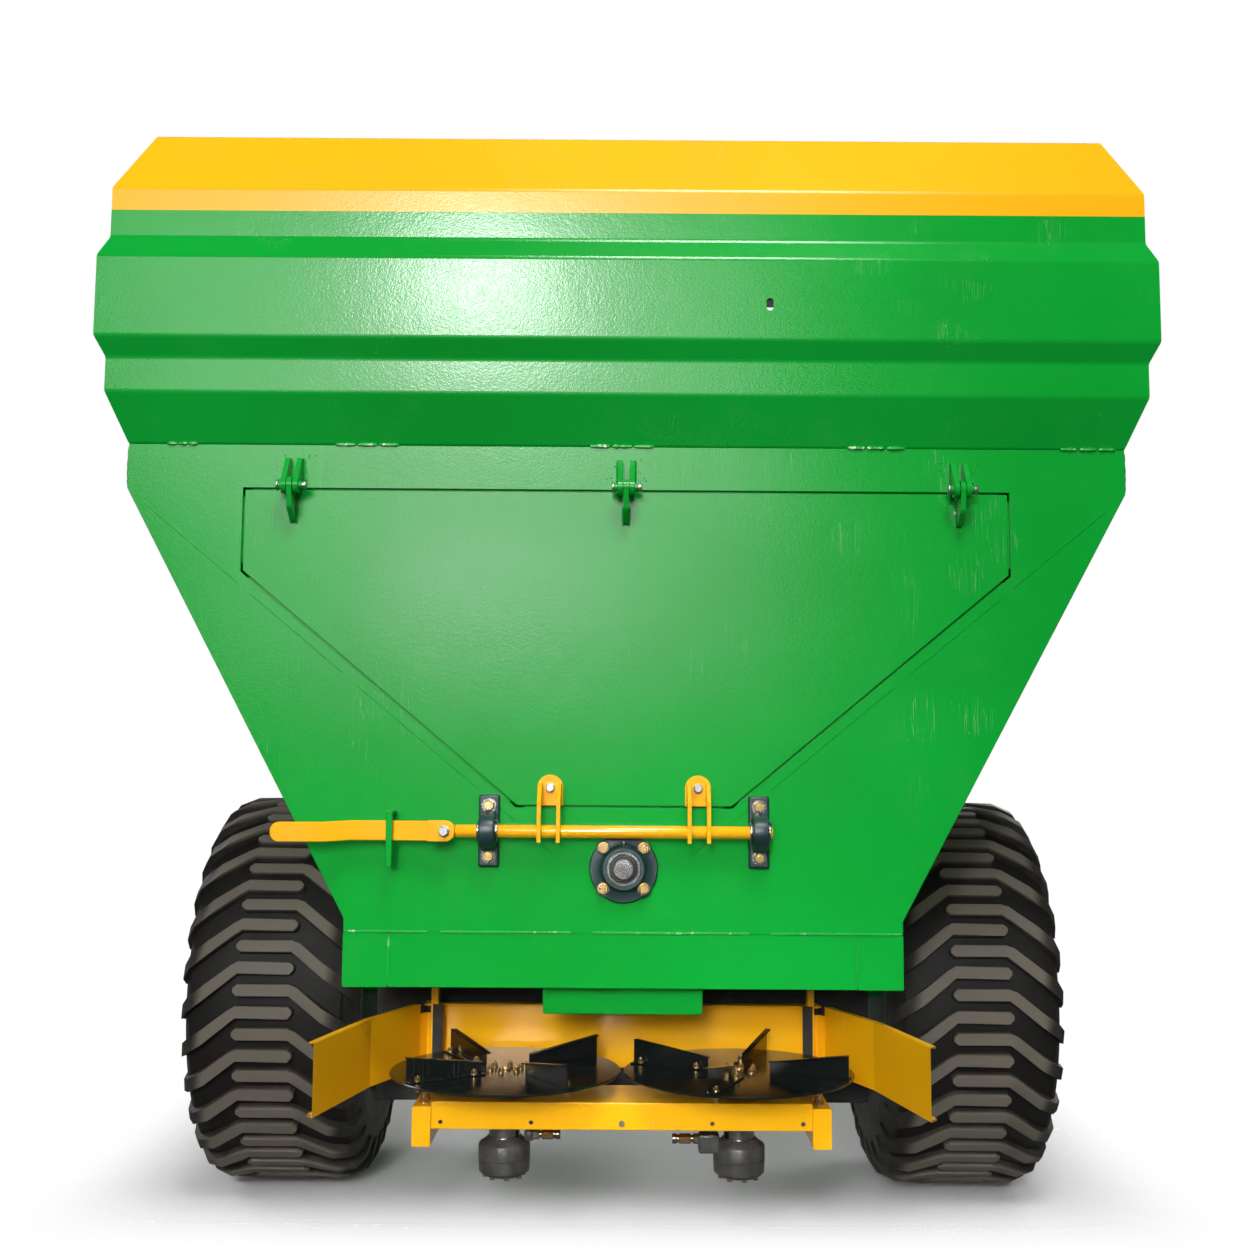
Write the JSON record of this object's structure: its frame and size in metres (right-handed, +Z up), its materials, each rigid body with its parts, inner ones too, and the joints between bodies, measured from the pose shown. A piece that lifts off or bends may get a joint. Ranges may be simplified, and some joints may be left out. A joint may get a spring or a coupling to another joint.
{
  "type": "towed fertilizer spreader",
  "caption": "Towed fertilizer spreader: open V-floor hopper on one axle, floor auger, tailgate, and a pair of vaned spreading discs between swinging deflector wings.",
  "frame": {"origin": "middle of the machine's bounding box, on the ground", "axes": "+Y forward along the direction of travel towards the drawbar eye, +X to the machine's right, +Z up"},
  "size_m": [2.52, 4.67, 2.804],
  "materials": {
    "green_paint": "gloss green machine enamel with a light orange peel",
    "yellow_paint": "gloss orange-yellow machine enamel",
    "black_paint": "gloss black enamel",
    "cast_housing": "dark grey painted casting",
    "worn_steel": "bare steel, polished by the load",
    "zinc_steel": "zinc plated steel",
    "wheel_paint": "silver wheel enamel",
    "tyre_rubber": "flotation tyre rubber",
    "skirt_rubber": "black belt rubber"
  },
  "bodies": {
    "trailer": {"rear_wall": "green_paint", "front_wall": "green_paint", "left_hopper_floor": "green_paint", "right_hopper_floor": "green_paint", "left_hopper_ribs": "green_paint", "right_hopper_ribs": "green_paint", "rear_upper_panel": "green_paint", "front_upper_panel": "green_paint", "left_upper_panel": "green_paint", "right_upper_panel": "green_paint", "door_hinge_ears": "green_paint", "handle_hook": "green_paint", "auger_trough": "green_paint", "left_rail": "green_paint", "right_rail": "green_paint", "rear_crossmember": "green_paint", "crossmembers": "green_paint", "discharge_chute": "green_paint", "axle_beam": "green_paint", "axle_brackets": "green_paint", "left_drawbar_beam": "green_paint", "right_drawbar_beam": "green_paint", "hitch_plate": "green_paint", "jack_crossmember": "green_paint", "auger_drive_bracket": "green_paint", "rear_rim": "yellow_paint", "front_rim": "yellow_paint", "left_rim": "yellow_paint", "right_rim": "yellow_paint", "latch_shaft": "yellow_paint", "latch_handle": "yellow_paint", "spreader_frame": "yellow_paint", "spreader_hangers": "yellow_paint", "spreader_hood": "yellow_paint", "wing_hinge_rods": "black_paint", "auger_bearings": "cast_housing", "latch_bearings": "cast_housing", "disc_motors": "cast_housing", "auger_motor": "cast_housing", "parking_jack": "zinc_steel", "hitch_eye": "zinc_steel", "rubber_skirt": "skirt_rubber"},
    "tailgate": {"rear_door": "green_paint", "door_keepers": "yellow_paint", "door_hinge_straps": "green_paint"},
    "left_spreading_disc": {"left_disc": "black_paint", "left_vanes": "black_paint"},
    "right_spreading_disc": {"right_disc": "black_paint", "right_vanes": "black_paint"},
    "left_deflector": {"left_wing": "yellow_paint"},
    "right_deflector": {"right_wing": "yellow_paint"},
    "auger": {"auger_shaft": "worn_steel", "auger_flight": "worn_steel"},
    "left_road_wheel": {"left_tyre": "tyre_rubber", "left_wheel": "wheel_paint"},
    "right_road_wheel": {"right_tyre": "tyre_rubber", "right_wheel": "wheel_paint"}
  },
  "joints": [
    {"name": "left_wheel_spin", "type": "hinge", "parent": "trailer", "child": "left_road_wheel", "pos_m": [-1.01, -0.8, 0.585], "axis": [1, 0, 0], "continuous": true},
    {"name": "right_wheel_spin", "type": "hinge", "parent": "trailer", "child": "right_road_wheel", "pos_m": [1.01, -0.8, 0.585], "axis": [1, 0, 0], "continuous": true},
    {"name": "left_disc_spin", "type": "hinge", "parent": "trailer", "child": "left_spreading_disc", "pos_m": [-0.269, -2.07, 0.573], "axis": [0, 0, 1], "continuous": true},
    {"name": "right_disc_spin", "type": "hinge", "parent": "trailer", "child": "right_spreading_disc", "pos_m": [0.269, -2.07, 0.573], "axis": [0, 0, 1], "continuous": true},
    {"name": "auger_spin", "type": "hinge", "parent": "trailer", "child": "auger", "pos_m": [0, -0.67, 1.042], "axis": [0, 1, 0], "continuous": true},
    {"name": "tailgate_hinge", "type": "hinge", "parent": "trailer", "child": "tailgate", "pos_m": [0, -2.163, 1.924], "axis": [-1, 0, 0], "range_deg": [0, 80]},
    {"name": "left_wing_hinge", "type": "hinge", "parent": "trailer", "child": "left_deflector", "pos_m": [-0.487, -1.77, 0.6015], "axis": [0, 0, -1], "range_deg": [-5, 40]},
    {"name": "right_wing_hinge", "type": "hinge", "parent": "trailer", "child": "right_deflector", "pos_m": [0.487, -1.77, 0.6015], "axis": [0, 0, 1], "range_deg": [-5, 40]}
  ]
}
